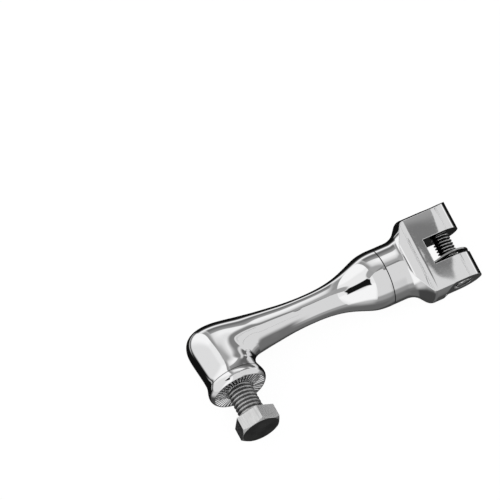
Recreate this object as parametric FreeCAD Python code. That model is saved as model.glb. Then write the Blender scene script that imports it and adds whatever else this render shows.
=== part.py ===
"""Motorcycle foot peg arm: a splined elbow arm with a swivelling clevis for the peg.

Millimetres, +Z up. The origin is the centre of the splined foot's face, on the
mounting bolt's axis. +X runs along the arm to the clevis, and the bolt's head
is on the -Y side.
"""
import FreeCAD, Part
import math
import os

Vector = FreeCAD.Vector
ORIGIN = Vector(0, 0, 0)
X_DIR, Y_DIR, Z_DIR = Vector(1, 0, 0), Vector(0, 1, 0), Vector(0, 0, 1)
SECTION_POINTS = 8

# Fits and clearances
running_gap = 0.05
thread_gap = 0.06
free_gap = 0.25

# Overall layout: distances along the arm are from the mounting bolt's axis
arm_axis_y = 24.9
arm_length = 89.4
swivel_deg = 14.0

# Splined foot: teeth, the flat rim round them, and the lip above it as height and overhang
spline_teeth = 40
spline_outer_radius = 13.0
spline_depth = 0.85
spline_land_share = 0.16
spline_recess = 0.1
foot_rim_width = 0.3
foot_face_radius = spline_outer_radius + foot_rim_width
foot_lip = [(1.1, 0.95), (3.4, 1.45), (5.9, 0.8)]
barrel_radius = 13.35

# Elbow: the heel's outer curve is measured from the barrel's side at the height of the arm's axis
inner_bend_radius = 6.0
heel_outline = [(-0.25, -9.4), (-0.95, -1.9), (-0.75, 4.9), (2.05, 9.9), (8.15, 12.5), (16.35, 12.5),
                (24.85, 11.2)]
heel_width_shares = [1.0, 1.01, 1.01, 1.0, 0.975, 0.92, 0.84]

# Shank: shares of its length, with shares of the taper to the waist and of the swell to the collar
shank_start_radius = 10.05
waist_radius = 7.3
collar_radius = 14.75
collar_length = 3.0
shank_taper = [(0.067, 0.76), (0.157, 0.49), (0.261, 0.2), (0.365, 0.036)]
shank_swell = [(0.47, 0.0), (0.559, 0.034), (0.634, 0.114), (0.708, 0.255), (0.783, 0.47), (0.858, 0.725),
               (0.91, 0.886), (0.955, 0.966)]

# Mounting bolt, half-inch coarse thread
bolt_radius = 6.35
bolt_length = 38.1
bolt_out = 15.1
bolt_tip_chamfer = 1.2
bolt_head_flats = 19.05
bolt_head_height = 7.8
bolt_head_turn_deg = 23.5
bolt_head_chamfer = 0.325
bolt_head_chamfer_deg = 30.0
bolt_hole_spare = 5.0
bolt_hole_mouth_chamfer = 1.0

# Clevis
neck_length = 7.6
flare_length = 12.2
flare_slope_deg = 50.0
flare_crest_radius = 2.8
clevis_root_length = 24.8
floor_to_pivot = 11.4
flat_before_floor = 4.2
flat_sweep_radius = 14.0
slot_width = 13.5
ear_outer_radius = 22.0
ear_half_thickness = 10.1
spot_face_radius = 12.0
spot_face_depth = 2.6
cutter_spare = 5.0

slot_floor_x = arm_length + clevis_root_length
pivot_x = slot_floor_x + floor_to_pivot
ear_end_x = pivot_x + ear_half_thickness
flat_start_x = slot_floor_x - flat_before_floor
spot_face_height = ear_outer_radius - spot_face_depth
cutter_reach = ear_outer_radius + cutter_spare

# Spigot between the arm and the clevis
spigot_radius = 8.0
spigot_length = 6.0
spigot_end_gap = 0.3

# Clevis clamping screw and its lock washer
clamp_radius = 3.97
clamp_length = 31.75
clamp_head_radius = 5.95
clamp_head_height = 7.94
clamp_socket_flats = 6.35
clamp_head_gap = 0.55
clamp_hole_spare = 2.0
head_below_floor = 0.2
lock_washer_thickness = 2.0
lock_washer_radius = clamp_head_radius - 0.05
lock_washer_split = 1.2

# Pivot screw across the slot, three-eighths coarse thread
pivot_radius = 4.76
pivot_length = 31.75
pivot_tip_chamfer = 1.0
pivot_tip_stands = 0.2
pivot_head_radius = 7.14
pivot_head_height = 6.1
pivot_socket_flats = 5.56
pivot_mouth_chamfer = 0.78

# Bowed spring washer on the pivot screw: its rise at the floor end, the screw and the round end
washer_thickness = 0.8
washer_half_width = ear_half_thickness - 0.4
washer_rise = [0.6, 2.15, 1.2]
washer_floor_gap = 0.5


def ring_section(centre, across, reach, half_width):
    """Points round an oval, `reach` wide along `across` and `half_width` along Z."""
    points = []
    for index in range(SECTION_POINTS):
        angle = 2 * math.pi * index / SECTION_POINTS
        sideways = across * (reach * math.cos(angle))
        points.append(centre + sideways + Z_DIR * (half_width * math.sin(angle)))
    return points


def section_centre(section):
    total = Vector()
    for point in section:
        total += point
    return total / len(section)


def skinned_solid(sections):
    """One smooth closed skin through ovals that all have the same number of points."""
    stations = [0.0]
    for before, after in zip(sections, sections[1:]):
        stations.append(stations[-1] + section_centre(before).distanceToPoint(section_centre(after)))
    turns = list(range(SECTION_POINTS + 1))
    section_poles = []
    for section in sections:
        oval = Part.BSplineCurve()
        oval.interpolate(section, PeriodicFlag=True, Parameters=turns)
        section_poles.append(oval.getPoles())
    rows = []
    for column in zip(*section_poles):
        lengthwise = Part.BSplineCurve()
        lengthwise.interpolate(list(column), Parameters=stations)
        rows.append(lengthwise.getPoles())
    skin = Part.BSplineSurface()
    skin.buildFromPolesMultsKnots(rows, oval.getMultiplicities(), lengthwise.getMultiplicities(),
                                  oval.getKnots(), lengthwise.getKnots(), True, False,
                                  oval.Degree, lengthwise.Degree)
    side = skin.toShape()
    ends = [Part.Face(Part.Wire([skin.vIso(station).toShape()])) for station in (0.0, stations[-1])]
    shell = Part.makeShell([side] + ends)
    shell.sewShape()
    solid = Part.Solid(shell)
    if solid.Volume < 0:
        solid.reverse()
    return solid


def rod(start, direction, radius, length):
    return Part.makeCylinder(radius, length, start, direction)


def revolved(points, axis_start, axis_dir):
    """Solid of revolution from a closed polygon that touches the axis."""
    face = Part.Face(Part.makePolygon(points + [points[0]]))
    return face.revolve(axis_start, axis_dir, 360)


def hexagon_prism(start, direction, flats, height, turn_deg=0.0):
    """Hexagonal prism across `flats`, standing on `start` along `direction`."""
    corner = flats / math.sqrt(3)
    corners = []
    for index in range(7):
        angle = math.radians(60 * index + turn_deg)
        corners.append(Vector(corner * math.cos(angle), corner * math.sin(angle), 0))
    prism = Part.Face(Part.makePolygon(corners)).extrude(Vector(0, 0, height))
    prism.Placement = FreeCAD.Placement(start, FreeCAD.Rotation(Z_DIR, direction))
    return prism


def pyramid(tip, base):
    """Closed solid from a tip and a triangle."""
    faces = [Part.Face(Part.makePolygon(base + [base[0]]))]
    for first, second in zip(base, base[1:] + base[:1]):
        faces.append(Part.Face(Part.makePolygon([tip, first, second, tip])))
    return Part.makeSolid(Part.makeShell(faces))


def spline_grooves():
    """V grooves that run out from the foot's centre, deeper towards the rim."""
    half_width = math.pi * spline_outer_radius / spline_teeth * (1 - spline_land_share)
    overshoot = 0.3
    flare = half_width * (1 + overshoot / spline_depth)
    crest = Vector(0, spline_recess, 0)
    groove = pyramid(crest, [crest + Vector(spline_outer_radius, -overshoot, flare),
                             crest + Vector(spline_outer_radius, -overshoot, -flare),
                             crest + Vector(spline_outer_radius, spline_depth, 0)])
    grooves = []
    for tooth in range(spline_teeth):
        turned = groove.copy()
        turned.rotate(ORIGIN, Y_DIR, 360.0 * tooth / spline_teeth)
        grooves.append(turned)
    return grooves


def arm_sections():
    """Cross-sections from the splined foot, round the elbow and along the shank."""
    bend_x = barrel_radius + inner_bend_radius
    bend_y = arm_axis_y - shank_start_radius - inner_bend_radius
    bend_centre = Vector(bend_x, bend_y, 0)
    sections = [ring_section(ORIGIN, -X_DIR, foot_face_radius, foot_face_radius)]
    for height, overhang in foot_lip:
        radius = foot_face_radius + overhang
        sections.append(ring_section(Vector(0, height, 0), -X_DIR, radius, radius))
    sections.append(ring_section(Vector(0, bend_y, 0), -X_DIR, barrel_radius, barrel_radius))
    for (out_x, out_y), width_share in zip(heel_outline, heel_width_shares):
        span = Vector(out_x - barrel_radius, out_y + arm_axis_y, 0) - bend_centre
        outward = Vector(span).normalize()
        reach = (span.Length - inner_bend_radius) / 2
        centre = bend_centre + outward * (inner_bend_radius + reach)
        sections.append(ring_section(centre, outward, reach, width_share * barrel_radius))
    collar_x = arm_length - collar_length
    rings = [(bend_x, shank_start_radius)]
    for share, taper in shank_taper:
        radius = waist_radius + taper * (shank_start_radius - waist_radius)
        rings.append((bend_x + share * (collar_x - bend_x), radius))
    for share, swell in shank_swell:
        radius = waist_radius + swell * (collar_radius - waist_radius)
        rings.append((bend_x + share * (collar_x - bend_x), radius))
    rings += [(collar_x, collar_radius), (arm_length, collar_radius)]
    for x, radius in rings:
        sections.append(ring_section(Vector(x, arm_axis_y, 0), Y_DIR, radius, radius))
    return sections


def make_arm():
    arm = skinned_solid(arm_sections())
    arm = arm.fuse(rod(Vector(arm_length - 1, arm_axis_y, 0), X_DIR, spigot_radius, spigot_length + 1))
    radius = bolt_radius + thread_gap
    mouth_radius = radius + bolt_hole_mouth_chamfer
    depth = bolt_length - bolt_out + bolt_hole_spare
    bolt_hole = revolved([Vector(0, -1, 0), Vector(mouth_radius + 1, -1, 0),
                          Vector(radius, bolt_hole_mouth_chamfer, 0), Vector(radius, depth, 0),
                          Vector(0, depth + radius / 2, 0)], ORIGIN, Y_DIR)
    clamp_hole_x = clamp_seat_x() + lock_washer_thickness - clamp_length - clamp_hole_spare
    clamp_hole = rod(Vector(clamp_hole_x, arm_axis_y, 0), X_DIR, clamp_radius + thread_gap,
                     arm_length + spigot_length + 1 - clamp_hole_x)
    ring_recess = rod(Vector(0, -1, 0), Y_DIR, spline_outer_radius, 1 + spline_recess)
    return arm.cut([bolt_hole, clamp_hole, ring_recess] + spline_grooves())


def clamp_seat_x():
    """Face inside the clevis that the lock washer bears on."""
    return slot_floor_x - head_below_floor - clamp_head_height - lock_washer_thickness


def make_mounting_bolt():
    """Hexagon head screw, part run in, with the head's end face chamfered."""
    under_head_y = -bolt_out
    head = hexagon_prism(Vector(0, under_head_y, 0), -Y_DIR, bolt_head_flats, bolt_head_height,
                         bolt_head_turn_deg)
    end_y = under_head_y - bolt_head_height
    end_radius = bolt_head_flats / 2 - bolt_head_chamfer
    blank_radius = bolt_head_flats * 0.6
    slope = (blank_radius - end_radius) * math.tan(math.radians(bolt_head_chamfer_deg))
    chamfer = revolved([Vector(0, end_y, 0), Vector(end_radius, end_y, 0),
                        Vector(blank_radius, end_y + slope, 0), Vector(blank_radius, under_head_y, 0),
                        Vector(0, under_head_y, 0)], ORIGIN, Y_DIR)
    tip_y = under_head_y + bolt_length
    shank = revolved([Vector(0, under_head_y - 1, 0), Vector(bolt_radius, under_head_y - 1, 0),
                      Vector(bolt_radius, tip_y - bolt_tip_chamfer, 0),
                      Vector(bolt_radius - bolt_tip_chamfer, tip_y, 0), Vector(0, tip_y, 0)],
                     ORIGIN, Y_DIR)
    return head.common(chamfer).fuse(shank).removeSplitter()


def onto_arm(shape):
    """Takes a shape built about the X axis to the arm's axis, at the clevis's swivel."""
    shape.rotate(ORIGIN, X_DIR, swivel_deg)
    shape.translate(Vector(0, arm_axis_y, 0))
    return shape


def flared_body():
    """Neck, hollow flare with a rounded crest, and cylindrical sides, turned about the arm's axis."""
    slope = math.radians(flare_slope_deg)
    across, up = math.sin(slope), 1 - math.cos(slope)
    neck_end = Vector(arm_length + neck_length, collar_radius, 0)
    crest_end = Vector(neck_end.x + flare_length, ear_outer_radius, 0)
    rise = ear_outer_radius - collar_radius
    straight = (rise * across - flare_length * up) / (across * across - math.cos(slope) * up)
    hollow_radius = (flare_length - straight * math.cos(slope)) / across - flare_crest_radius
    hollow = []
    crest = []
    for share in (0.5, 1.0):
        turn = share * slope
        hollow.append(neck_end + Vector(math.sin(turn), 1 - math.cos(turn), 0) * hollow_radius)
        crest.append(crest_end - Vector(math.sin(turn), 1 - math.cos(turn), 0) * flare_crest_radius)
    edges = [Part.Arc(neck_end, hollow[0], hollow[1]).toShape(), Part.makeLine(hollow[1], crest[1]),
             Part.Arc(crest[1], crest[0], crest_end).toShape()]
    rest = Part.makePolygon([crest_end, Vector(ear_end_x, ear_outer_radius, 0), Vector(ear_end_x, 0, 0),
                             Vector(arm_length, 0, 0), Vector(arm_length, collar_radius, 0), neck_end])
    return Part.Face(Part.Wire(edges + rest.Edges)).revolve(ORIGIN, X_DIR, 360)


def flat_cutter():
    """Everything above the clevis's flat face and the sweep that runs up to the neck."""
    sweep_centre = Vector(flat_start_x, 0, ear_half_thickness + flat_sweep_radius)
    low = Vector(flat_start_x, 0, ear_half_thickness)
    side = sweep_centre - X_DIR * flat_sweep_radius
    middle = sweep_centre - (X_DIR + Z_DIR) * (flat_sweep_radius / math.sqrt(2))
    end_x = ear_end_x + 1
    edges = [Part.Arc(side, middle, low).toShape()]
    edges += Part.makePolygon([low, Vector(end_x, 0, ear_half_thickness), Vector(end_x, 0, cutter_reach),
                               Vector(side.x, 0, cutter_reach), side]).Edges
    profile = Part.Face(Part.Wire(edges))
    profile.translate(Vector(0, -cutter_reach, 0))
    return profile.extrude(Vector(0, 2 * cutter_reach, 0))


def end_rounding():
    """What is cut away so that both ears end in a half round about the pivot."""
    block = Part.makeBox(ear_half_thickness + 1, 2 * cutter_reach, 2 * ear_half_thickness + 2,
                         Vector(pivot_x, -cutter_reach, -ear_half_thickness - 1))
    kept = rod(Vector(pivot_x, -cutter_reach - 1, 0), Y_DIR, ear_half_thickness, 2 * cutter_reach + 2)
    return block.cut(kept)


def make_clevis():
    front_cut = flat_cutter()
    back_cut = front_cut.copy()
    back_cut.rotate(ORIGIN, X_DIR, 180)
    slot = Part.makeBox(ear_end_x + 1 - slot_floor_x, slot_width, 2 * cutter_reach,
                        Vector(slot_floor_x, -slot_width / 2, -cutter_reach))
    body = flared_body().cut([front_cut, back_cut, end_rounding(), slot])

    spigot_hole = rod(Vector(arm_length - 1, 0, 0), X_DIR, spigot_radius + running_gap,
                      spigot_length + spigot_end_gap + 1)
    clamp_hole = rod(Vector(arm_length, 0, 0), X_DIR, clamp_radius + free_gap, slot_floor_x - arm_length)
    clamp_pocket = rod(Vector(clamp_seat_x(), 0, 0), X_DIR, clamp_head_radius + clamp_head_gap,
                       slot_floor_x + 1 - clamp_seat_x())
    spot_face = rod(Vector(pivot_x, -spot_face_height, 0), -Y_DIR, spot_face_radius, cutter_spare)
    tapped_radius = pivot_radius + thread_gap
    mouth_radius = tapped_radius + pivot_mouth_chamfer
    tapped_hole = revolved([Vector(pivot_x, 0, 0), Vector(pivot_x + tapped_radius, 0, 0),
                            Vector(pivot_x + tapped_radius, pivot_mouth_chamfer - spot_face_height, 0),
                            Vector(pivot_x + mouth_radius, -spot_face_height, 0),
                            Vector(pivot_x + mouth_radius, -cutter_reach, 0),
                            Vector(pivot_x, -cutter_reach, 0)],
                           Vector(pivot_x, 0, 0), Y_DIR)
    plain_hole = rod(Vector(pivot_x, 0, 0), Y_DIR, pivot_radius + free_gap, cutter_reach)
    head_pocket = rod(Vector(pivot_x, pivot_seat_height(), 0), Y_DIR, pivot_head_radius + free_gap, cutter_reach)
    return onto_arm(body.cut([spigot_hole, clamp_hole, clamp_pocket, spot_face, tapped_hole,
                              plain_hole, head_pocket]))


def make_clevis_screw():
    """Socket head screw that clamps the clevis to the arm, its head below the slot's floor."""
    seat = Vector(clamp_seat_x() + lock_washer_thickness, 0, 0)
    head = rod(seat, X_DIR, clamp_head_radius, clamp_head_height)
    shank = rod(seat + X_DIR, -X_DIR, clamp_radius, clamp_length + 1)
    socket_depth = clamp_head_height / 2
    socket = hexagon_prism(seat + X_DIR * socket_depth, X_DIR, clamp_socket_flats, clamp_head_height)
    return onto_arm(head.fuse(shank).cut(socket).removeSplitter())


def make_lock_washer():
    """Split spring washer under the clamping screw's head."""
    start = Vector(clamp_seat_x(), 0, 0)
    ring = rod(start, X_DIR, lock_washer_radius, lock_washer_thickness)
    hole = rod(start, X_DIR, clamp_radius + free_gap, lock_washer_thickness)
    split = Part.makeBox(lock_washer_thickness, lock_washer_split, lock_washer_radius + 1,
                         start - Y_DIR * (lock_washer_split / 2))
    return onto_arm(ring.cut([hole, split]))


def pivot_seat_height():
    """Face in the upper ear that the pivot screw's head bears on."""
    return pivot_length - spot_face_height - pivot_tip_stands


def make_pivot_screw():
    """Low head socket screw through both ears, threaded into the ear on the bolt's side."""
    seat = Vector(pivot_x, pivot_seat_height(), 0)
    head = rod(seat, Y_DIR, pivot_head_radius, pivot_head_height)
    tip_y = seat.y - pivot_length
    shank = revolved([seat + Y_DIR, seat + Y_DIR + X_DIR * pivot_radius,
                      Vector(pivot_x + pivot_radius, tip_y + pivot_tip_chamfer, 0),
                      Vector(pivot_x + pivot_radius - pivot_tip_chamfer, tip_y, 0),
                      Vector(pivot_x, tip_y, 0)], seat, Y_DIR)
    socket_depth = pivot_head_height * 0.6
    socket = hexagon_prism(seat + Y_DIR * (pivot_head_height - socket_depth), Y_DIR,
                           pivot_socket_flats, pivot_head_height)
    return onto_arm(head.fuse(shank).cut(socket).removeSplitter())


def make_spring_washer():
    """Bowed steel plate with one round end, loose on the pivot screw."""
    left_x = slot_floor_x + washer_floor_gap
    right_x = pivot_x + washer_half_width
    low = -slot_width / 2
    points = [Vector(x, low + rise, 0) for x, rise in zip((left_x, pivot_x, right_x), washer_rise)]
    profile = Part.Arc(*points).toShape().extrude(Y_DIR * washer_thickness)
    strip = profile.extrude(Z_DIR * (2 * washer_half_width))
    strip.translate(-Z_DIR * washer_half_width)
    blank = Part.makeBox(pivot_x - left_x, slot_width, 2 * washer_half_width,
                         Vector(left_x, low, -washer_half_width))
    blank = blank.fuse(rod(Vector(pivot_x, low, 0), Y_DIR, washer_half_width, slot_width))
    hole = rod(Vector(pivot_x, low, 0), Y_DIR, pivot_radius + free_gap, slot_width)
    return onto_arm(strip.common(blank).cut(hole))


nodes = {
    "arm": make_arm(),
    "mounting_bolt": make_mounting_bolt(),
    "clevis": make_clevis(),
    "clevis_screw": make_clevis_screw(),
    "lock_washer": make_lock_washer(),
    "pivot_screw": make_pivot_screw(),
    "spring_washer": make_spring_washer(),
}

os.makedirs("parts", exist_ok=True)
for name, shape in nodes.items():
    shape.exportStep("parts/" + name + ".step")
    box = shape.BoundBox
    print(name, "solids", len(shape.Solids), "valid", shape.isValid(), "volume %.1f" % shape.Volume,
          "size %.1f %.1f %.1f" % (box.XLength, box.YLength, box.ZLength))
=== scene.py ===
"""Motorcycle foot peg arm: the dressed model, its stage, its light and its camera.

Metres, in the same frame as the solids: the origin is the centre of the splined
foot's face, +X runs along the arm to the clevis and +Z is up.
"""
import bpy
import bmesh
import math
import numpy as np
from mathutils import Matrix, Vector


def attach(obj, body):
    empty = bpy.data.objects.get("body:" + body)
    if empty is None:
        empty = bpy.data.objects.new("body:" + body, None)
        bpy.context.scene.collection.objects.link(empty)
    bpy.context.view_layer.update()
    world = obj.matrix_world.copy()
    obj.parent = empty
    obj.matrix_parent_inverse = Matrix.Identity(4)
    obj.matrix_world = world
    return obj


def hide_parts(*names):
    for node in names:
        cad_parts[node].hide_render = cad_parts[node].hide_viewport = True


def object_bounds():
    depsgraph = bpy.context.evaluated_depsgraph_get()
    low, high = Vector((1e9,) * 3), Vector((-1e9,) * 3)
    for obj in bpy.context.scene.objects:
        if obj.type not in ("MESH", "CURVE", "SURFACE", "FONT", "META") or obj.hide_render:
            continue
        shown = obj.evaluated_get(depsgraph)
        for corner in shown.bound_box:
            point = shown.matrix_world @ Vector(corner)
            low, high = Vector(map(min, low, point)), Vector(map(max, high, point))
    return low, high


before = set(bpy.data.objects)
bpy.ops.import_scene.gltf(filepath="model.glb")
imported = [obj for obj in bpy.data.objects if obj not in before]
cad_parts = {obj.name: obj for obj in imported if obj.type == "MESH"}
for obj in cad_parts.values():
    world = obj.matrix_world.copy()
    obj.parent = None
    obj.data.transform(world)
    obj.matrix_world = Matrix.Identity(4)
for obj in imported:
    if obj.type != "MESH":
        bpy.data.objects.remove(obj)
cad_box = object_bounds()

# The arm: one forged and chromed piece, with the splined foot that clamps to the motorcycle,
# the elbow, the tapered shank and the collar, and a turned spigot inside the clevis. It is
# ground and mirror polished before plating; only the spline ring is left as it was cut.

MM = 0.001  # the sizes are in millimetres
arm_axis_y = 24.9
arm_length = 89.4
barrel_radius = 13.35
inner_bend_radius = 6.0
collar_radius = 14.75
collar_x = arm_length - 3.0
waist_radius = 7.3
shank_start_radius = 10.05
foot_rim_radius = 13.3
bend_x = barrel_radius + inner_bend_radius
bend_y = arm_axis_y - shank_start_radius - inner_bend_radius
shank_run = collar_x - bend_x
# the lip's height above the foot's face, and how far it stands out past the rim
foot_lip = [(1.1, 0.95), (3.4, 1.45), (5.9, 0.8)]
# the heel's outline: x from the back of the barrel, y from the arm's axis
heel_outline = [(-0.25, -9.4), (-0.95, -1.9), (-0.75, 4.9), (2.05, 9.9), (8.15, 12.5), (16.35, 12.5),
                (24.85, 11.2)]
heel_width_shares = [1.0, 1.01, 1.01, 1.0, 0.975, 0.92, 0.84]
# shares of the shank's run, and of the taper to the waist or the swell to the collar
shank_taper = [(0.067, 0.76), (0.157, 0.49), (0.261, 0.2), (0.365, 0.036)]
shank_swell = [(0.47, 0.0), (0.559, 0.034), (0.634, 0.114), (0.708, 0.255), (0.783, 0.47),
               (0.858, 0.725), (0.91, 0.886), (0.955, 0.966)]
spline_teeth = 40
spline_outer_radius = 13.0
spline_depth = 0.85
spline_recess = 0.1
bolt_hole_radius = 6.41
bolt_hole_depth = 28.0
mouth_radius = bolt_hole_radius + 1.0
spigot_radius = 8.0
spigot_length = 6.0
clamp_bore_radius = 4.03
clamp_bore_x = 72.3


def oval(centre_x, centre_y, across_x, across_y, half_width):
    """One oval cross-section of the forging: its centre, its half span and its half width."""
    return [centre_x, centre_y, across_x, across_y, half_width]


ovals = [oval(0, 0, -foot_rim_radius, 0, foot_rim_radius)]
for height, overhang in foot_lip:
    radius = foot_rim_radius + overhang
    ovals.append(oval(0, height, -radius, 0, radius))
ovals.append(oval(0, bend_y, -barrel_radius, 0, barrel_radius))
for (out_x, out_y), share in zip(heel_outline, heel_width_shares):
    span = Vector((out_x - barrel_radius - bend_x, out_y + arm_axis_y - bend_y))
    outward = span.normalized()
    reach = (span.length - inner_bend_radius) / 2
    middle = Vector((bend_x, bend_y)) + outward * (inner_bend_radius + reach)
    ovals.append(oval(middle.x, middle.y, outward.x * reach, outward.y * reach, share * barrel_radius))
rings = [(bend_x, shank_start_radius)]
for share, taper in shank_taper:
    rings.append((bend_x + share * shank_run, waist_radius + taper * (shank_start_radius - waist_radius)))
for share, swell in shank_swell:
    rings.append((bend_x + share * shank_run, waist_radius + swell * (collar_radius - waist_radius)))
rings += [(collar_x, collar_radius), (arm_length, collar_radius)]
for x, radius in rings:
    ovals.append(oval(x, arm_axis_y, 0, radius, radius))


def smooth_through(values, stations, wanted):
    """Smooth curve through values at their stations, read at the wanted places along it."""
    values, stations = np.array(values, float), np.array(stations, float)
    steps = np.diff(stations)
    rises = np.diff(values, axis=0) / steps[:, None]
    count = len(stations)
    matrix = np.zeros((count, count))
    right = np.zeros_like(values)
    matrix[0, 0] = matrix[-1, -1] = 1.0
    right[0] = rises[0] + (rises[0] - rises[1]) * steps[0] / (steps[0] + steps[1])
    right[-1] = rises[-1] + (rises[-1] - rises[-2]) * steps[-1] / (steps[-1] + steps[-2])
    for row in range(1, count - 1):
        before, after = steps[row - 1], steps[row]
        matrix[row, row - 1:row + 2] = [after, 2 * (before + after), before]
        right[row] = 3 * (after * rises[row - 1] + before * rises[row])
    slopes = np.linalg.solve(matrix, right)
    spot = np.clip(np.searchsorted(stations, wanted, side="right") - 1, 0, count - 2)
    width = steps[spot][:, None]
    u = ((wanted - stations[spot]) / steps[spot])[:, None]
    return ((2 * u**3 - 3 * u**2 + 1) * values[spot] + (u**3 - 2 * u**2 + u) * width * slopes[spot]
            + (3 * u**2 - 2 * u**3) * values[spot + 1] + (u**3 - u**2) * width * slopes[spot + 1])


def join_rings(mesh, lower, upper):
    """Faces between two closed rings of points; the upper ring may have twice as many."""
    ratio = len(upper) // len(lower)
    for index in range(len(lower)):
        after = (index + 1) % len(lower)
        corners = [lower[index], lower[after]]
        corners += [upper[(ratio * (index + 1) - back) % len(upper)] for back in range(ratio + 1)]
        mesh.faces.new(corners)


def ring_points(mesh, points):
    return [mesh.verts.new(point) for point in points]


def finished_mesh(name, mesh, sharp_deg=35.0):
    """Turns the worked mesh into an object in metres, with smooth faces and crisp edges."""
    bmesh.ops.recalc_face_normals(mesh, faces=mesh.faces)
    for face in mesh.faces:
        face.smooth = True
    data = bpy.data.meshes.new(name)
    mesh.to_mesh(data)
    mesh.free()
    data.transform(Matrix.Scale(MM, 4))
    data.set_sharp_from_angle(angle=math.radians(sharp_deg))
    piece = bpy.data.objects.new(name, data)
    bpy.context.scene.collection.objects.link(piece)
    return piece


def circle_about_y(radius, y, count, start_deg=0.0):
    turns = [math.radians(start_deg) + 2 * math.pi * index / count for index in range(count)]
    return [(-radius * math.cos(turn), y, radius * math.sin(turn)) for turn in turns]


def circle_about_x(radius, x, count):
    turns = [2 * math.pi * index / count for index in range(count)]
    return [(x, arm_axis_y + radius * math.cos(turn), radius * math.sin(turn)) for turn in turns]


skin_columns = 160
edge_break = 0.12
centres = np.array([values[:2] for values in ovals])
along = np.concatenate([[0.0], np.cumsum(np.linalg.norm(np.diff(centres, axis=0), axis=1))])
skin_places = np.concatenate([[edge_break, 0.3, 0.55, 0.8], np.arange(1.1, along[-1] - 0.5, 0.6),
                              [along[-1] - edge_break]])
arm_mesh = bmesh.new()
groove = arm_mesh.verts.layers.float.new("groove")
skin_rings = []
for centre_x, centre_y, across_x, across_y, half_width in smooth_through(ovals, along, skin_places):
    points = []
    for index in range(skin_columns):
        turn = 2 * math.pi * index / skin_columns
        reach = math.cos(turn)
        points.append((centre_x + across_x * reach, centre_y + across_y * reach,
                       half_width * math.sin(turn)))
    skin_rings.append(ring_points(arm_mesh, points))
for lower, upper in zip(skin_rings, skin_rings[1:]):
    join_rings(arm_mesh, lower, upper)

# across one tooth: places as shares of the pitch from the crest, and shares of the groove's depth
tooth_profile = [(-0.5, 0.96), (-0.45, 0.87), (-0.115, 0.06), (-0.07, 0.0), (0.0, 0.0), (0.07, 0.0),
                 (0.115, 0.06), (0.45, 0.87)]
tooth_columns = []
for tooth in range(spline_teeth):
    for place, depth in tooth_profile:
        tooth_columns.append((2 * math.pi * (tooth + 0.5 + place) / spline_teeth, depth))


def tooth_point(turn, radius, y):
    return (-radius * math.cos(turn), y, radius * math.sin(turn))


def groove_y(radius, depth):
    return spline_recess + spline_depth * radius / spline_outer_radius * depth


rim = ring_points(arm_mesh, circle_about_y(foot_rim_radius - edge_break / 2, 0.0, skin_columns))
join_rings(arm_mesh, skin_rings[0], rim)
inner_rim = ring_points(arm_mesh, [tooth_point(turn, spline_outer_radius, 0.0)
                                   for turn, depth in tooth_columns])
join_rings(arm_mesh, rim, inner_rim)
last = inner_rim
for share in (0.0, 0.3, 0.65, 1.0):
    points = []
    for turn, depth in tooth_columns:
        inner = (mouth_radius - spline_recess) / (1 + spline_depth / spline_outer_radius * depth)
        radius = spline_outer_radius + share * (inner - spline_outer_radius)
        points.append(tooth_point(turn, radius, groove_y(radius, depth)))
    ring = ring_points(arm_mesh, points)
    for vert, (turn, depth) in zip(ring, tooth_columns):
        vert[groove] = depth
    join_rings(arm_mesh, last, ring)
    last = ring
for radius, y in ((bolt_hole_radius, mouth_radius - bolt_hole_radius), (bolt_hole_radius, bolt_hole_depth),
                  (0.05, bolt_hole_depth + bolt_hole_radius / 2)):
    ring = ring_points(arm_mesh, [tooth_point(turn, radius, y) for turn, depth in tooth_columns])
    join_rings(arm_mesh, last, ring)
    last = ring
arm_mesh.faces.new(last)

last = skin_rings[-1]
for radius, x in ((collar_radius - edge_break, arm_length), (spigot_radius, arm_length),
                  (spigot_radius, arm_length + spigot_length - 0.5),
                  (spigot_radius - 0.5, arm_length + spigot_length),
                  (clamp_bore_radius, arm_length + spigot_length), (clamp_bore_radius, clamp_bore_x)):
    ring = ring_points(arm_mesh, circle_about_x(radius, x, skin_columns))
    join_rings(arm_mesh, last, ring)
    last = ring
arm_mesh.faces.new(last)
arm_piece = finished_mesh("arm_forging", arm_mesh)
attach(arm_piece, "arm")
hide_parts("arm")


def shader_node(tree, kind, **settings):
    """A node of a shader, with constants for sockets given by name or place, and links from outputs."""
    node = tree.nodes.new("ShaderNode" + kind)
    for name, value in settings.items():
        if name == "sockets":
            for socket, content in value.items():
                if isinstance(content, bpy.types.NodeSocket):
                    tree.links.new(content, node.inputs[socket])
                else:
                    node.inputs[socket].default_value = content
        else:
            setattr(node, name, value)
    return node


def shader_group(name, inputs, outputs):
    """An empty group of shader nodes with named sockets, its input node and its output node."""
    group = bpy.data.node_groups.new(name, "ShaderNodeTree")
    for socket, kind, value in inputs:
        made = group.interface.new_socket(socket, in_out="INPUT", socket_type="NodeSocket" + kind)
        made.default_value = value
    for socket, kind in outputs:
        group.interface.new_socket(socket, in_out="OUTPUT", socket_type="NodeSocket" + kind)
    return group, group.nodes.new("NodeGroupInput"), group.nodes.new("NodeGroupOutput")


def metal(name):
    """A new metal with its node tree and its shader node."""
    made = bpy.data.materials.new(name)
    made.use_nodes = True
    shader = made.node_tree.nodes["Principled BSDF"]
    shader.inputs["Metallic"].default_value = 1.0
    return made, made.node_tree, shader


def use_group(tree, group, **constants):
    """A group placed in a material, with constants for its named sockets."""
    node = tree.nodes.new("ShaderNodeGroup")
    node.node_tree = group
    for socket, value in constants.items():
        node.inputs[socket].default_value = value
    return node


def grey(shade):
    return (shade, shade, shade, 1)


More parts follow.
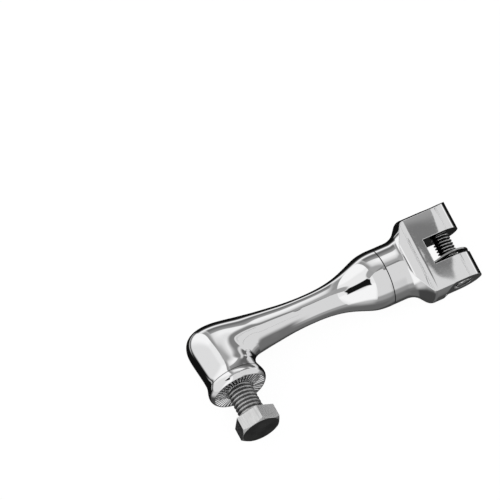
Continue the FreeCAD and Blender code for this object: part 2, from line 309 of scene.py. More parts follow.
# hand polishing leaves plated surfaces slightly wavy, which bends the edges of reflections
hand_polish, given, made = shader_group(
    "hand_polish",
    (("Normal", "Vector", (0, 0, 1)), ("Wave", "Float", 0.02), ("Scale", "Float", 60.0)),
    (("Normal", "Vector"),))
place = shader_node(hand_polish, "TexCoord")
swell = shader_node(hand_polish, "TexNoise", sockets={
    "Vector": place.outputs["Object"], "Scale": given.outputs["Scale"], "Detail": 1.0})
centred = shader_node(hand_polish, "VectorMath", operation="SUBTRACT",
                      sockets={0: swell.outputs["Color"], 1: (0.5, 0.5, 0.5)})
lean = shader_node(hand_polish, "VectorMath", operation="SCALE",
                   sockets={0: centred.outputs[0], "Scale": given.outputs["Wave"]})
leant = shader_node(hand_polish, "VectorMath", operation="ADD",
                    sockets={0: given.outputs["Normal"], 1: lean.outputs[0]})
unit = shader_node(hand_polish, "VectorMath", operation="NORMALIZE", sockets={0: leant.outputs[0]})
hand_polish.links.new(unit.outputs[0], made.inputs["Normal"])

# fine marks and broad clouds in a metal's finish, each 0 to 1, drawn out along one direction
cloud_scale = 140.0
finish_marks, given, made = shader_group(
    "finish_marks",
    (("Stretch", "Vector", (1, 1, 1)), ("Scale", "Float", 900.0)),
    (("Fine", "Float"), ("Broad", "Float")))
place = shader_node(finish_marks, "TexCoord")
drawn = shader_node(finish_marks, "VectorMath", operation="MULTIPLY",
                    sockets={0: place.outputs["Object"], 1: given.outputs["Stretch"]})
fine = shader_node(finish_marks, "TexNoise", sockets={
    "Vector": drawn.outputs[0], "Scale": given.outputs["Scale"], "Detail": 3.0})
broad = shader_node(finish_marks, "TexNoise", sockets={
    "Vector": place.outputs["Object"], "Scale": cloud_scale, "Detail": 4.0})
for source, target in ((fine, "Fine"), (broad, "Broad")):
    spread = shader_node(finish_marks, "MapRange", sockets={0: source.outputs[0], 1: 0.3, 2: 0.7})
    finish_marks.links.new(spread.outputs[0], made.inputs[target])

# painted shade in the bottom of grooves, darker with the depth that is written on the mesh's points
groove_shade, given, made = shader_group(
    "groove_shade",
    (("Bare", "Color", (0.95, 0.95, 0.955, 1)), ("Dark", "Color", grey(0.02)),
     ("From", "Float", 0.2), ("To", "Float", 0.8)),
    (("Color", "Color"),))
depth_written = shader_node(groove_shade, "Attribute", attribute_name="groove")
deep = shader_node(groove_shade, "MapRange", sockets={
    0: depth_written.outputs["Fac"], 1: given.outputs["From"], 2: given.outputs["To"]})
shaded = shader_node(groove_shade, "Mix", data_type="RGBA", sockets={
    0: deep.outputs[0], 6: given.outputs["Bare"], 7: given.outputs["Dark"]})
groove_shade.links.new(shaded.outputs[2], made.inputs["Color"])

# painted shade: a dark line round a piece where it crosses a plane, in a joint and in a crease
painted_shade_line, given, made = shader_group(
    "painted_shade_line",
    (("Color", "Color", (0.95, 0.95, 0.955, 1)), ("Across", "Vector", (1, 0, 0)),
     ("Place", "Float", 0.0), ("Half Width", "Float", 0.25 * MM), ("Shade", "Float", 0.02)),
    (("Color", "Color"),))
place = shader_node(painted_shade_line, "TexCoord")
reached = shader_node(painted_shade_line, "VectorMath", operation="DOT_PRODUCT",
                      sockets={0: place.outputs["Object"], 1: given.outputs["Across"]})
apart = shader_node(painted_shade_line, "Math", operation="SUBTRACT",
                    sockets={0: reached.outputs["Value"], 1: given.outputs["Place"]})
distance = shader_node(painted_shade_line, "Math", operation="ABSOLUTE", sockets={0: apart.outputs[0]})
widths_off = shader_node(painted_shade_line, "Math", operation="DIVIDE",
                         sockets={0: distance.outputs[0], 1: given.outputs["Half Width"]})
clear = shader_node(painted_shade_line, "MapRange", sockets={
    0: widths_off.outputs[0], 1: 0.8, 2: 1.2, 3: given.outputs["Shade"], 4: 1.0})
lined = shader_node(painted_shade_line, "Mix", data_type="RGBA", blend_type="MULTIPLY",
                    sockets={0: 1.0, 6: given.outputs["Color"], 7: clear.outputs[0]})
painted_shade_line.links.new(lined.outputs[2], made.inputs["Color"])

mirror_roughness = (0.015, 0.05)
lip_crease_y = 5.3
chrome, tree, chrome_shader = metal("mirror_chrome")
# painted shade in the spline's grooves, darker with their depth
toothed = use_group(tree, groove_shade, From=0.38, To=0.51)
# painted shade in the joint with the clevis and in the crease round the foot's lip
seamed = use_group(tree, painted_shade_line, Place=arm_length * MM)
creased = use_group(tree, painted_shade_line, Across=(0, 1, 0), Place=lip_crease_y * MM, Shade=0.25)
marks = use_group(tree, finish_marks)
gloss = shader_node(tree, "MapRange", sockets={
    0: marks.outputs["Fine"], 3: mirror_roughness[0], 4: mirror_roughness[1]})
facing = shader_node(tree, "NewGeometry")
polish = use_group(tree, hand_polish, Wave=0.075, Scale=60.0)
tree.links.new(toothed.outputs[0], seamed.inputs["Color"])
tree.links.new(seamed.outputs[0], creased.inputs["Color"])
tree.links.new(facing.outputs["Normal"], polish.inputs["Normal"])
tree.links.new(creased.outputs[0], chrome_shader.inputs["Base Color"])
tree.links.new(gloss.outputs[0], chrome_shader.inputs["Roughness"])
tree.links.new(polish.outputs[0], chrome_shader.inputs["Normal"])
arm_piece.data.materials.append(chrome)

# The clevis is the fork for the foot peg's tongue: one piece with a neck, a hollow flare, two
# flats and a slot between round-ended ears. It is turned and milled from the same steel as the
# arm, polished and chromed, and the clamping screw inside holds it at any angle on the spigot.

swivel = math.radians(14.0)
neck_end_x = 97.0
flare_end_x = 109.2
flare_slope = math.radians(50.0)
flare_crest_radius = 2.8
ear_radius = 22.0
ear_half_thickness = 10.1
slot_floor_x = 114.2
slot_half_width = 6.75
pivot_x = 125.6
flat_start_x = 110.0
flat_sweep_radius = 14.0
spot_face_radius = 12.0
spot_face_v = -19.4
pivot_seat_v = 12.15
clamp_seat_x = 104.06
spigot_bore_radius = spigot_radius + 0.05
spigot_bore_depth = 6.3
clamp_hole_radius = 4.22
clamp_pocket_radius = 6.5
tap_mouth_radius = 5.6
tap_mouth_depth = 0.78
tapped_radius = 4.82
pivot_hole_radius = 5.01
pivot_pocket_radius = 7.39
outside = 27.0


def turned(name, outline, columns):
    """A piece turned about the X axis from (x, radius) points that begin and end on the axis."""
    mesh = bmesh.new()
    start = mesh.verts.new((outline[0][0], 0, 0))
    end = mesh.verts.new((outline[-1][0], 0, 0))
    made = []
    for x, radius in outline[1:-1]:
        points = []
        for index in range(columns):
            turn = 2 * math.pi * (index + 0.5) / columns
            points.append((x, radius * math.cos(turn), radius * math.sin(turn)))
        made.append(ring_points(mesh, points))
    for lower, upper in zip(made, made[1:]):
        join_rings(mesh, lower, upper)
    for index in range(columns):
        after = (index + 1) % columns
        mesh.faces.new((start, made[0][after], made[0][index]))
        mesh.faces.new((end, made[-1][index], made[-1][after]))
    return finished_mesh(name, mesh)


def arc(centre, radius, start_deg, end_deg, steps):
    """Points on an arc in a plane, from one direction to the other."""
    turns = [math.radians(start_deg + (end_deg - start_deg) * step / steps) for step in range(steps + 1)]
    return [(centre[0] + radius * math.cos(turn), centre[1] + radius * math.sin(turn)) for turn in turns]


def slab(name, outline, v_from, v_to):
    """A plate with the outline (x, w), between two places across the ears."""
    mesh = bmesh.new()
    near = [mesh.verts.new((x, v_from, w)) for x, w in outline]
    far = [mesh.verts.new((x, v_to, w)) for x, w in outline]
    join_rings(mesh, near, far)
    mesh.faces.new(near)
    mesh.faces.new(list(reversed(far)))
    return finished_mesh(name, mesh)


def worked(blank, *steps):
    """The blank after each step in turn: a tool piece, and what it does to the blank."""
    for tool, action in steps:
        step = blank.modifiers.new("step", "BOOLEAN")
        step.operation = action
        step.solver = "EXACT"
        step.object = tool
    data = bpy.data.meshes.new_from_object(blank.evaluated_get(bpy.context.evaluated_depsgraph_get()))
    blank.modifiers.clear()
    blank.data = data
    for tool, action in steps:
        bpy.data.objects.remove(tool)
    return blank


def eased_edges(piece, width, segments=2, angle_deg=30.0):
    bevel = piece.modifiers.new("eased_edges", "BEVEL")
    bevel.width = width * MM
    bevel.segments = segments
    bevel.limit_method = "ANGLE"
    bevel.angle_limit = math.radians(angle_deg)
    bevel.harden_normals = True


# the flare is a hollow arc, a short straight and the arc of the crest, which fixes the hollow
rise = ear_radius - collar_radius
run = flare_end_x - neck_end_x
sine, drop = math.sin(flare_slope), 1 - math.cos(flare_slope)
straight = (rise * sine - run * drop) / (sine * sine - math.cos(flare_slope) * drop)
hollow_radius = (run - straight * math.cos(flare_slope)) / sine - flare_crest_radius
slope_deg = math.degrees(flare_slope)
outline = [(arm_length, 0.0), (arm_length, collar_radius - edge_break),
           (arm_length + edge_break, collar_radius)]
outline += [(arm_length + 1.3 * step, collar_radius) for step in range(1, 6)]
outline += arc((neck_end_x, collar_radius + hollow_radius), hollow_radius, -90, slope_deg - 90, 30)
outline += arc((flare_end_x, ear_radius - flare_crest_radius), flare_crest_radius, 90 + slope_deg, 90, 14)
outline += [(flare_end_x + 1.2 * step, ear_radius) for step in range(1, 24)]
outline += [(pivot_x + ear_half_thickness + 1, ear_radius), (pivot_x + ear_half_thickness + 1, 0.0)]
clevis_piece = turned("clevis_fork", outline, 288)

half_outline = [(arm_length - 1, outside), (flat_start_x - flat_sweep_radius, outside)]
half_outline += arc((flat_start_x, ear_half_thickness + flat_sweep_radius), flat_sweep_radius, 180, 270, 48)
half_outline += [(flat_start_x + 1.4 * step, ear_half_thickness) for step in range(1, 11)]
ends = arc((pivot_x, 0.0), ear_half_thickness, 90, -90, 64)
flats = slab("flats", half_outline + ends + [(x, -w) for x, w in reversed(half_outline)], -outside, outside)
slot_outline = [(slot_floor_x, -outside), (150.0, -outside), (150.0, outside), (slot_floor_x, outside)]
slot = slab("slot", slot_outline, -slot_half_width, slot_half_width)
inside_steps = [(arm_length - 1, 0.0), (arm_length - 1, spigot_bore_radius),
                (arm_length + spigot_bore_depth, spigot_bore_radius),
                (arm_length + spigot_bore_depth, clamp_hole_radius), (clamp_seat_x, clamp_hole_radius),
                (clamp_seat_x, clamp_pocket_radius), (slot_floor_x + 1, clamp_pocket_radius),
                (slot_floor_x + 1, 0.0)]
bore = turned("bore", inside_steps, 128)
pivot_steps = [(-outside, 0.0), (-outside, spot_face_radius), (spot_face_v, spot_face_radius),
               (spot_face_v, tap_mouth_radius), (spot_face_v + tap_mouth_depth, tapped_radius),
               (0.0, tapped_radius), (0.0, pivot_hole_radius), (pivot_seat_v, pivot_hole_radius),
               (pivot_seat_v, pivot_pocket_radius), (outside, pivot_pocket_radius), (outside, 0.0)]
pivot_bore = turned("pivot_bore", pivot_steps, 128)
onto_pivot = Matrix.Translation((pivot_x * MM, 0, 0)) @ Matrix.Rotation(math.pi / 2, 4, "Z")
pivot_bore.data.transform(onto_pivot)
worked(clevis_piece, (flats, "INTERSECT"), (slot, "DIFFERENCE"), (bore, "DIFFERENCE"),
       (pivot_bore, "DIFFERENCE"))
onto_arm = Matrix.Translation((0, arm_axis_y * MM, 0)) @ Matrix.Rotation(swivel, 4, "X")
clevis_piece.data.transform(onto_arm)
clevis_piece.data.set_sharp_from_angle(angle=math.radians(30))
eased_edges(clevis_piece, 0.5, 3, 35.0)

edge_round = 0.5
crown_lean = 2.2  # how far the flats' shading leans for each metre from their middle
slot_shade = grey(0.05)
clevis_chrome, tree, clevis_shader = metal("clevis_chrome")
across = onto_arm.to_3x3() @ Vector((0, 1, 0))
upward = onto_arm.to_3x3() @ Vector((0, 0, 1))
flat_middle = onto_arm @ Vector((117.0 * MM, 0, 0))
place = shader_node(tree, "TexCoord")
offset = shader_node(tree, "VectorMath", operation="SUBTRACT",
                     sockets={0: place.outputs["Object"], 1: flat_middle})
facing = shader_node(tree, "Bevel", samples=8, sockets={"Radius": edge_round * MM})
own = shader_node(tree, "VectorTransform", vector_type="NORMAL", convert_from="WORLD",
                  convert_to="OBJECT", sockets={0: facing.outputs["Normal"]})
# polishing has crowned the two flats a little, along them more than across
upright = shader_node(tree, "VectorMath", operation="DOT_PRODUCT",
                      sockets={0: own.outputs[0], 1: upward})
flat = shader_node(tree, "Math", operation="ABSOLUTE", sockets={0: upright.outputs["Value"]})
on_flat = shader_node(tree, "MapRange", sockets={
    0: flat.outputs[0], 1: 0.985, 2: 0.999, 3: 0.0, 4: crown_lean})
height = shader_node(tree, "VectorMath", operation="DOT_PRODUCT",
                     sockets={0: offset.outputs[0], 1: upward})
thick = shader_node(tree, "VectorMath", operation="SCALE",
                    sockets={0: upward, "Scale": height.outputs["Value"]})
spread = shader_node(tree, "VectorMath", operation="SUBTRACT",
                     sockets={0: offset.outputs[0], 1: thick.outputs[0]})
halved = shader_node(tree, "VectorMath", operation="MULTIPLY",
                     sockets={0: spread.outputs[0], 1: (1.0, 0.5, 0.5)})
lean = shader_node(tree, "VectorMath", operation="SCALE",
                   sockets={0: halved.outputs[0], "Scale": on_flat.outputs[0]})
crowned = shader_node(tree, "VectorMath", operation="ADD", sockets={0: own.outputs[0], 1: lean.outputs[0]})
back_out = shader_node(tree, "VectorTransform", vector_type="NORMAL", convert_from="OBJECT",
                       convert_to="WORLD", sockets={0: crowned.outputs[0]})
polish = use_group(tree, hand_polish, Wave=0.028, Scale=62.0)
# painted shade: the slot's walls are painted dark, as the shade between the ears
sideways = shader_node(tree, "VectorMath", operation="DOT_PRODUCT",
                       sockets={0: offset.outputs[0], 1: across})
side = shader_node(tree, "Math", operation="ABSOLUTE", sockets={0: sideways.outputs["Value"]})
between = shader_node(tree, "Math", operation="LESS_THAN",
                      sockets={0: side.outputs[0], 1: (slot_half_width + 0.08) * MM})
forward = shader_node(tree, "SeparateXYZ", sockets={0: place.outputs["Object"]})
beyond = shader_node(tree, "Math", operation="GREATER_THAN",
                     sockets={0: forward.outputs[0], 1: (slot_floor_x - 0.1) * MM})
in_slot = shader_node(tree, "Math", operation="MULTIPLY",
                      sockets={0: between.outputs[0], 1: beyond.outputs[0]})
# painted shade in the joint with the arm
seamed = use_group(tree, painted_shade_line, Place=arm_length * MM)
darkened = shader_node(tree, "Mix", data_type="RGBA", sockets={
    0: in_slot.outputs[0], 6: seamed.outputs[0], 7: slot_shade})
marks = use_group(tree, finish_marks)
gloss = shader_node(tree, "MapRange", sockets={
    0: marks.outputs["Fine"], 3: mirror_roughness[0], 4: mirror_roughness[1]})
tree.links.new(back_out.outputs[0], polish.inputs["Normal"])
tree.links.new(darkened.outputs[2], clevis_shader.inputs["Base Color"])
tree.links.new(gloss.outputs[0], clevis_shader.inputs["Roughness"])
tree.links.new(polish.outputs[0], clevis_shader.inputs["Normal"])
clevis_piece.data.materials.clear()
clevis_piece.data.materials.append(clevis_chrome)
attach(clevis_piece, "clevis")
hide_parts("clevis")

# The mounting bolt is a half-inch coarse thread hexagon screw that draws the splined foot onto
# its bracket. It is cold headed from steel, thread rolled and plated a dull satin grey; the
# head's end is faced flat inside a thirty degree chamfer, and is painted dark as painted shade.

bolt_radius = 6.35
bolt_pitch = 1.954
bolt_out = 15.1
bolt_length = 38.1
head_flats = 19.05
head_height = 7.8
head_turn_deg = 23.5
head_end_radius = 9.2
thread_columns = 72
# along one pitch: place on the pitch, and share of the thread's height there
thread_profile = [(0.0, 1.0), (0.125, 1.0), (0.16, 0.92), (0.405, 0.08), (0.4375, 0.0), (0.6875, 0.0),
                  (0.72, 0.08), (0.965, 0.92)]


def threaded_rod(mesh, radius, pitch, start_y, end_y, tip_radius):
    """A rolled thread along Y whose helix runs out into plain round ends."""
    groove = mesh.verts.layers.float.new("groove")
    depth = 0.6134 * pitch
    turns_needed = int((end_y - start_y) / pitch) + 3
    rows = len(thread_profile) * turns_needed
    grid = []
    for row in range(rows):
        place, height = thread_profile[row % len(thread_profile)]
        line = []
        for column in range(thread_columns):
            turn = column / thread_columns
            y = start_y + (row // len(thread_profile) - 1 + place + turn) * pitch
            y = min(max(y, start_y), end_y)
            room = tip_radius + min(y - start_y, end_y - y)
            flank = radius - depth * (1 - height)
            around = min(flank, room)
            angle = 2 * math.pi * turn
            vert = mesh.verts.new((around * math.cos(angle), y, around * math.sin(angle)))
            vert[groove] = 1 - height if flank < room else 0.0
            line.append(vert)
        grid.append(line)
    step = len(thread_profile)
    for row in range(rows - step - 1):
        for column in range(thread_columns - 1):
            mesh.faces.new((grid[row][column], grid[row][column + 1], grid[row + 1][column + 1],
                            grid[row + 1][column]))
        mesh.faces.new((grid[row][-1], grid[row + step][0], grid[row + step + 1][0], grid[row + 1][-1]))
    bmesh.ops.remove_doubles(mesh, verts=mesh.verts, dist=1e-5)
    bmesh.ops.dissolve_degenerate(mesh, dist=1e-5, edges=mesh.edges)
    bmesh.ops.delete(mesh, geom=[vert for vert in mesh.verts if not vert.link_faces], context="VERTS")
    bmesh.ops.holes_fill(mesh, edges=[edge for edge in mesh.edges if edge.is_boundary], sides=0)


def onto_y(piece, sign):
    """Turns a piece made about the X axis so that it points along Y."""
    piece.data.transform(Matrix.Rotation(sign * math.pi / 2, 4, "Z"))
    return piece


def hexagon(flats, turn_deg=0.0):
    """Corners of a hexagon from its size across the flats."""
    reach = flats / math.sqrt(3)
    angles = [math.radians(turn_deg + 60 * corner) for corner in range(6)]
    return [(reach * math.cos(angle), reach * math.sin(angle)) for angle in angles]


head_end = bolt_out + head_height
blank_radius = 0.6 * head_flats
chamfer_rise = (blank_radius - head_end_radius) * math.tan(math.radians(30))
head_outline = [(bolt_out, 0.0), (bolt_out, blank_radius), (head_end - chamfer_rise, blank_radius),
                (head_end, head_end_radius), (head_end, 0.0)]
bolt_head = onto_y(turned("bolt_head", head_outline, 180), -1)
flats_tool = slab("head_flats", hexagon(head_flats, head_turn_deg), -head_end - 1, -bolt_out + 1)
worked(bolt_head, (flats_tool, "INTERSECT"))
bolt_head.data.set_sharp_from_angle(angle=math.radians(20))
eased_edges(bolt_head, 0.16, angle_deg=20.0)
rod_mesh = bmesh.new()
threaded_rod(rod_mesh, bolt_radius, bolt_pitch, -bolt_out - 0.5, bolt_length - bolt_out, 5.15)
bolt_thread = finished_mesh("bolt_thread", rod_mesh, 60.0)


def worn_steel(name, light, dark, groove_dark, roughness, stretch, groove_from=0.05):
    """Plated or blackened steel: clouds between two greys, brushed marks and painted shade in the grooves.
    """
    made, tree, shader = metal(name)
    marks = use_group(tree, finish_marks, Stretch=stretch, Scale=1500.0)
    blend = shader_node(tree, "Math", operation="MULTIPLY",
                        sockets={0: marks.outputs["Fine"], 1: marks.outputs["Broad"]})
    cloud = shader_node(tree, "Mix", data_type="RGBA",
                        sockets={0: blend.outputs[0], 6: grey(light), 7: grey(dark)})
    shade = use_group(tree, groove_shade, Dark=grey(groove_dark), From=groove_from, To=0.85)
    dull = shader_node(tree, "MapRange", sockets={
        0: marks.outputs["Fine"], 3: roughness * 0.75, 4: roughness * 1.25})
    raised = shader_node(tree, "Bump", sockets={
        "Strength": 0.12, "Distance": 0.02 * MM, "Height": marks.outputs["Fine"]})
    tree.links.new(cloud.outputs[2], shade.inputs["Bare"])
    tree.links.new(shade.outputs[0], shader.inputs["Base Color"])
    tree.links.new(dull.outputs[0], shader.inputs["Roughness"])
    tree.links.new(raised.outputs[0], shader.inputs["Normal"])
    return made


satin = worn_steel("satin_plated_steel", light=0.78, dark=0.5, groove_dark=0.16, roughness=0.24,
                   stretch=(1.0, 0.12, 1.0), groove_from=0.3)
head_finish = worn_steel("head_steel_with_painted_end_shade", light=0.88, dark=0.66, groove_dark=0.04,
                         roughness=0.32, stretch=(1.0, 0.08, 1.0))
tree = head_finish.node_tree
head_shader = tree.nodes["Principled BSDF"]
plating = head_shader.inputs["Base Color"].links[0].from_socket
# painted shade: the head's end face is painted dark, in clouds
place = shader_node(tree, "TexCoord")
lengthwise = shader_node(tree, "SeparateXYZ", sockets={0: place.outputs["Object"]})
at_end = shader_node(tree, "Math", operation="LESS_THAN",
                     sockets={0: lengthwise.outputs[1], 1: (0.1 - head_end) * MM})
marks = use_group(tree, finish_marks, Scale=700.0)
end_shade = shader_node(tree, "Mix", data_type="RGBA",
                    sockets={0: marks.outputs["Broad"], 6: grey(0.06), 7: grey(0.16)})
end_shaded = shader_node(tree, "Mix", data_type="RGBA",
                      sockets={0: at_end.outputs[0], 6: plating, 7: end_shade.outputs[2]})
tree.links.new(end_shaded.outputs[2], head_shader.inputs["Base Color"])
for piece, finish in ((bolt_head, head_finish), (bolt_thread, satin)):
    piece.data.materials.clear()
    piece.data.materials.append(finish)
    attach(piece, "mounting_bolt")
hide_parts("mounting_bolt")

# The pivot screw is a three-eighths low head socket screw of plated steel, on which the peg's
# tongue turns. Its head sits in the far ear's counterbore, and its thread runs across the slot
# into the near ear.

pivot_radius = 4.76
pivot_pitch = 1.5875
pivot_tip_v = -19.6
pivot_head_radius = 7.14
pivot_head_height = 6.1
pivot_socket_flats = 5.56
pivot_socket_depth = 3.66
pivot_top_v = pivot_seat_v + pivot_head_height
pivot_mesh = bmesh.new()
threaded_rod(pivot_mesh, pivot_radius, pivot_pitch, pivot_tip_v, pivot_seat_v + 0.5, 3.76)
pivot_thread = finished_mesh("pivot_thread", pivot_mesh, 60.0)
cap_outline = [(pivot_seat_v, 0.0), (pivot_seat_v, pivot_head_radius - 0.2),
               (pivot_seat_v + 0.2, pivot_head_radius),
               (pivot_top_v - 0.6, pivot_head_radius), (pivot_top_v - 0.18, pivot_head_radius - 0.18),
               (pivot_top_v, pivot_head_radius - 0.6), (pivot_top_v, 0.0)]
pivot_cap = onto_y(turned("pivot_cap", cap_outline, 96), 1)
socket = slab("socket", hexagon(pivot_socket_flats), pivot_top_v - pivot_socket_depth, pivot_top_v + 1)
worked(pivot_cap, (socket, "DIFFERENCE"))
pivot_cap.data.set_sharp_from_angle(angle=math.radians(30))
screw_steel = worn_steel("plated_screw_steel", light=0.88, dark=0.6, groove_dark=0.01, roughness=0.16,
                         stretch=(1.0, 1.0, 1.0), groove_from=0.3)
for piece in (pivot_thread, pivot_cap):
    piece.data.transform(onto_arm @ Matrix.Translation((pivot_x * MM, 0, 0)))
    piece.data.materials.clear()
    piece.data.materials.append(screw_steel)
    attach(piece, "pivot_screw")
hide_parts("pivot_screw")

# The bowed spring washer is stamped from spring strip and takes up the peg's side play. The
# clamping screw, of blackened steel, and its split lock washer sit deep in the slot's floor and
# clamp the clevis to the spigot.

spring_steel = worn_steel("spring_strip_steel", light=0.55, dark=0.35, groove_dark=0.02, roughness=0.22,
                          stretch=(0.2, 1.0, 1.0))
black_steel = worn_steel("black_oxide_steel", light=0.06, dark=0.03, groove_dark=0.01, roughness=0.4,
                         stretch=(1.0, 1.0, 1.0))
for node, finish in (("spring_washer", spring_steel), ("lock_washer", spring_steel),
                     ("clevis_screw", black_steel)):
    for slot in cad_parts[node].material_slots:
        slot.link = "OBJECT"
        slot.material = finish

# The camera is a long lens above the arm, in front of it and a little past its foot, as for a
# catalogue picture.

picture_pixels = 500.0
focal_pixels = 1838.0
sensor_width = 36.0
eye = Vector((-0.1576165, -0.3613658, 0.7830751))
right = Vector((0.89798821, -0.43972495, -0.01609791))
up_dir = Vector((0.38414186, 0.76558644, 0.51605468))
back = Vector((-0.21459778, -0.4695949, 0.85640436))
camera_data = bpy.data.cameras.new("camera")
camera_data.sensor_width = sensor_width
camera_data.lens = sensor_width * focal_pixels / picture_pixels
camera_data.clip_start = 0.05
camera_data.clip_end = 20.0
camera = bpy.data.objects.new("camera", camera_data)
camera.matrix_world = Matrix((
    (right.x, up_dir.x, back.x, eye.x),
    (right.y, up_dir.y, back.y, eye.y),
    (right.z, up_dir.z, back.z, eye.z),
    (0, 0, 0, 1)))
bpy.context.scene.collection.objects.link(camera)
bpy.context.scene.camera = camera
bpy.context.scene.view_settings.view_transform = "Standard"

# The table that the part lies on is plain, dull and pale. The camera sees it white, like the
# ground of a catalogue picture, and the chrome doesn't show it.

floor_z = cad_box[0][2]
table_half_width = 900
table_shade = grey(0.14)
table_light = 0.93
table_mesh = bmesh.new()
corners = [(-1, -1), (1, -1), (1, 1), (-1, 1)]
table_mesh.faces.new([table_mesh.verts.new((x * table_half_width, y * table_half_width, floor_z / MM))
                      for x, y in corners])
table = finished_mesh("table", table_mesh)
table.visible_glossy = False
pale = bpy.data.materials.new("pale_table")
pale.use_nodes = True
tree = pale.node_tree
pale_shader = tree.nodes["Principled BSDF"]
pale_shader.inputs["Base Color"].default_value = table_shade
pale_shader.inputs["Roughness"].default_value = 1.0
pale_shader.inputs["Specular IOR Level"].default_value = 0.0
pale_shader.inputs["Emission Color"].default_value = grey(1)
ray = shader_node(tree, "LightPath")
glow = shader_node(tree, "Math", operation="MULTIPLY",
                   sockets={0: ray.outputs["Is Camera Ray"], 1: table_light})
tree.links.new(glow.outputs[0], pale_shader.inputs["Emission Strength"])
table.data.materials.append(pale)

# The studio is what stands round the table: a bright window on the elbow's side, pale walls, grey
# screens, a black card by the camera, and dark ground. The chrome shows it all, and the camera
# sees plain white. Azimuth is in degrees from +X towards +Y, and elevation from the horizon.

studio = bpy.data.worlds.new("studio")
bpy.context.scene.world = studio
studio.use_nodes = True
tree = studio.node_tree
tree.nodes.clear()
direction = shader_node(tree, "TexCoord").outputs["Generated"]
side_x, side_y, side_z = shader_node(tree, "SeparateXYZ", sockets={0: direction}).outputs


def calc(operation, *values):
    """A sum on numbers or on outputs of nodes."""
    return shader_node(tree, "Math", operation=operation, sockets=dict(enumerate(values))).outputs[0]


def rise_between(value, low, high):
    """0 below low and 1 above high, with a soft edge; the other way round if low is above high."""
    low_end, high_end = (0.0, 1.0) if low < high else (1.0, 0.0)
    ramp = shader_node(tree, "MapRange", interpolation_type="SMOOTHSTEP", sockets={
        "Value": value, "From Min": min(low, high), "From Max": max(low, high),
        "To Min": low_end, "To Max": high_end})
    return ramp.outputs["Result"]


def both(*masks):
    result = masks[0]
    for mask in masks[1:]:
        result = calc("MULTIPLY", result, mask)
    return result


azimuth = calc("DEGREES", calc("ARCTAN2", side_y, side_x))
elevation = calc("DEGREES", calc("ARCSINE", side_z))


def card(left, right_edge, foot, top=None):
    """Mask of a card; each edge goes from the angle where it ends to that where it is full."""
    mask = both(rise_between(azimuth, *left), rise_between(azimuth, *right_edge),
                rise_between(elevation, *foot))
    return both(mask, rise_between(elevation, *top)) if top else mask


def linear(shade):
    """The light for a shade as it shows in a picture, from 0.05, nearly black, to 1, white."""
    return ((shade + 0.055) / 1.055) ** 2.4


def cover(under, mask, shade):
    """The light under a card, and the card's own where its mask is 1."""
    mix = shader_node(tree, "Mix", data_type="FLOAT", sockets={0: mask, 2: under, 3: linear(shade)})
    return mix.outputs[0]


# the ground in front: pale at the horizon, darker underneath
light = cover(linear(0.85), rise_between(elevation, -9, -18), 0.62)
fore = both(rise_between(azimuth, -118, -104), rise_between(azimuth, -42, -56))
light = cover(light, both(fore, rise_between(elevation, 1, -10)), 0.60)
light = cover(light, rise_between(elevation, -19, -33), 0.45)
light = cover(light, rise_between(elevation, -34, -46), 0.39)
light = cover(light, both(rise_between(elevation, -36, -52), calc("SUBTRACT", 1.0, fore)), 0.26)
# behind the arm it is white at the horizon and turns black soon below it, with a pale hem
behind = both(rise_between(azimuth, -8, 10), rise_between(azimuth, 172, 160))
near_behind = both(behind, rise_between(azimuth, 108, 92))
horizon = both(near_behind, rise_between(elevation, -5, -2), rise_between(elevation, 6, 3))
light = cover(light, horizon, 0.97)
light = cover(light, both(near_behind, rise_between(elevation, -2, -6)), 0.50)
light = cover(light, both(near_behind, rise_between(elevation, -6, -12)), 0.14)
light = cover(light, both(behind, rise_between(elevation, -13, -20)), 0.07)
light = cover(light, both(behind, rise_between(elevation, -60, -75)), 0.25)
light = cover(light, card((92, 100), (158, 140), (-28, -25), (-20, -23)), 0.75)
# the white window on the elbow's side, brightest at its two edges
far_side = rise_between(azimuth, -1, 1)
sill = calc("MULTIPLY_ADD", far_side, 4.0, -16.0)
above_sill = rise_between(calc("SUBTRACT", elevation, sill), -3, 3)
window = both(rise_between(side_x, -0.145, -0.165), above_sill)
light = cover(light, window, 0.88)
near_edge = both(rise_between(azimuth, -136, -124), rise_between(azimuth, -96, -106))
far_edge = both(far_side, rise_between(azimuth, 146, 118))
edges = calc("MAXIMUM", near_edge, far_edge)
light = cover(light, both(window, edges, rise_between(elevation, -13, -7)), 0.98)
light = cover(light, both(window, rise_between(elevation, 48, 58)), 0.93)
lower_window = both(rise_between(azimuth, -96, -118), rise_between(elevation, -12, -18),
                    rise_between(elevation, -48, -26))
light = cover(light, lower_window, 0.80)
# its grey curtain, drawn aside on the far side
aside = both(rise_between(side_x, -0.155, -0.145), rise_between(side_x, 0.08, -0.08),
             rise_between(side_y, 0.05, 0.2), rise_between(elevation, 8, 16))
light = cover(light, aside, 0.58)
# grey half of the ceiling, the white strip below it and the grey wall under that
beside = calc("SUBTRACT", side_y, calc("MINIMUM", calc("MULTIPLY", side_x, 0.2),
                                       calc("MULTIPLY", side_x, 0.62)))
high = both(rise_between(elevation, 66, 70), rise_between(beside, -0.005, 0.005))
light = cover(light, high, 0.62)
light = cover(light, card((10, 13), (112, 106), (58, 70)), 0.64)
light = cover(light, card((22, 40), (100, 64), (33, 38), (62, 46)), 0.96)
light = cover(light, card((10, 13), (42, 26), (22, 29)), 0.50)
wall = card((24, 44), (91, 88), (3, 13), (37, 30))
light = cover(light, wall, 0.40)
light = cover(light, both(wall, rise_between(elevation, 12, 34)), 0.58)
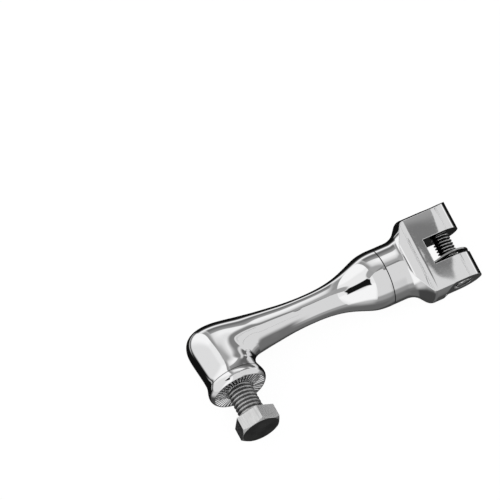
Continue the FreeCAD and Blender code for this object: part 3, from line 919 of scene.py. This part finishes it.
# low grey screen on the right, and a grey post in front of it
light = cover(light, card((15, 19), (60, 48), (-12, -7), (20, 10)), 0.38)
light = cover(light, card((-76, -66), (-52, -64), (-70, -45), (32, 4)), 0.43)
# grey screen overhead with a round outline, which the clevis's flats show, lighter at its ends
from_middle = calc("ABSOLUTE", calc("SUBTRACT", side_x, 0.300))
past_x = calc("MAXIMUM", calc("SUBTRACT", from_middle, 0.004), 0.0)
past_y = calc("MULTIPLY", calc("SUBTRACT", side_y, 0.05), 0.26)
past = calc("SQRT", calc("ADD", calc("MULTIPLY", past_x, past_x), calc("MULTIPLY", past_y, past_y)))
screen = both(rise_between(past, 0.037, 0.033), rise_between(side_z, 0.85, 0.87))
light = cover(light, screen, 0.47)
light = cover(light, both(screen, rise_between(side_y, 0.006, 0.036)), 0.60)
light = cover(light, both(screen, rise_between(side_y, -0.060, -0.086)), 0.60)
# black card by the camera, cut at a slant
slant = calc("ADD", azimuth, elevation)
black_card = both(rise_between(azimuth, -168, -163), rise_between(slant, -70, -74),
                  rise_between(elevation, 45, 48), rise_between(elevation, 68, 65))
light = cover(light, black_card, 0.08)
# thin seams between the sheets of the light tent, one wavy and one straight
wavy_x = calc("MULTIPLY_ADD", calc("SINE", calc("MULTIPLY", side_y, 190.0)), 0.08, side_x)
wavy_seam = both(rise_between(calc("ABSOLUTE", calc("SUBTRACT", wavy_x, 0.64)), 0.026, 0.012),
                 rise_between(side_y, -0.03, -0.02), rise_between(side_y, 0.06, 0.05),
                 rise_between(side_z, 0.6, 0.7))
across_seam = shader_node(tree, "VectorMath", operation="DOT_PRODUCT",
                          sockets={0: direction, 1: (0.226, -0.744, -0.627)})
straight_seam = both(rise_between(calc("ABSOLUTE", across_seam.outputs["Value"]), 0.006, 0.003),
                     rise_between(side_x, 0.28, 0.32), rise_between(side_y, -0.08, -0.14))
seams = calc("MAXIMUM", wavy_seam, straight_seam)
light = cover(light, calc("MULTIPLY", seams, 0.8), 0.25)
camera_ray = shader_node(tree, "LightPath").outputs["Is Camera Ray"]
background = shader_node(tree, "Background", sockets={"Color": cover(light, camera_ray, 1.0)})
shader_node(tree, "OutputWorld", sockets={0: background.outputs[0]})
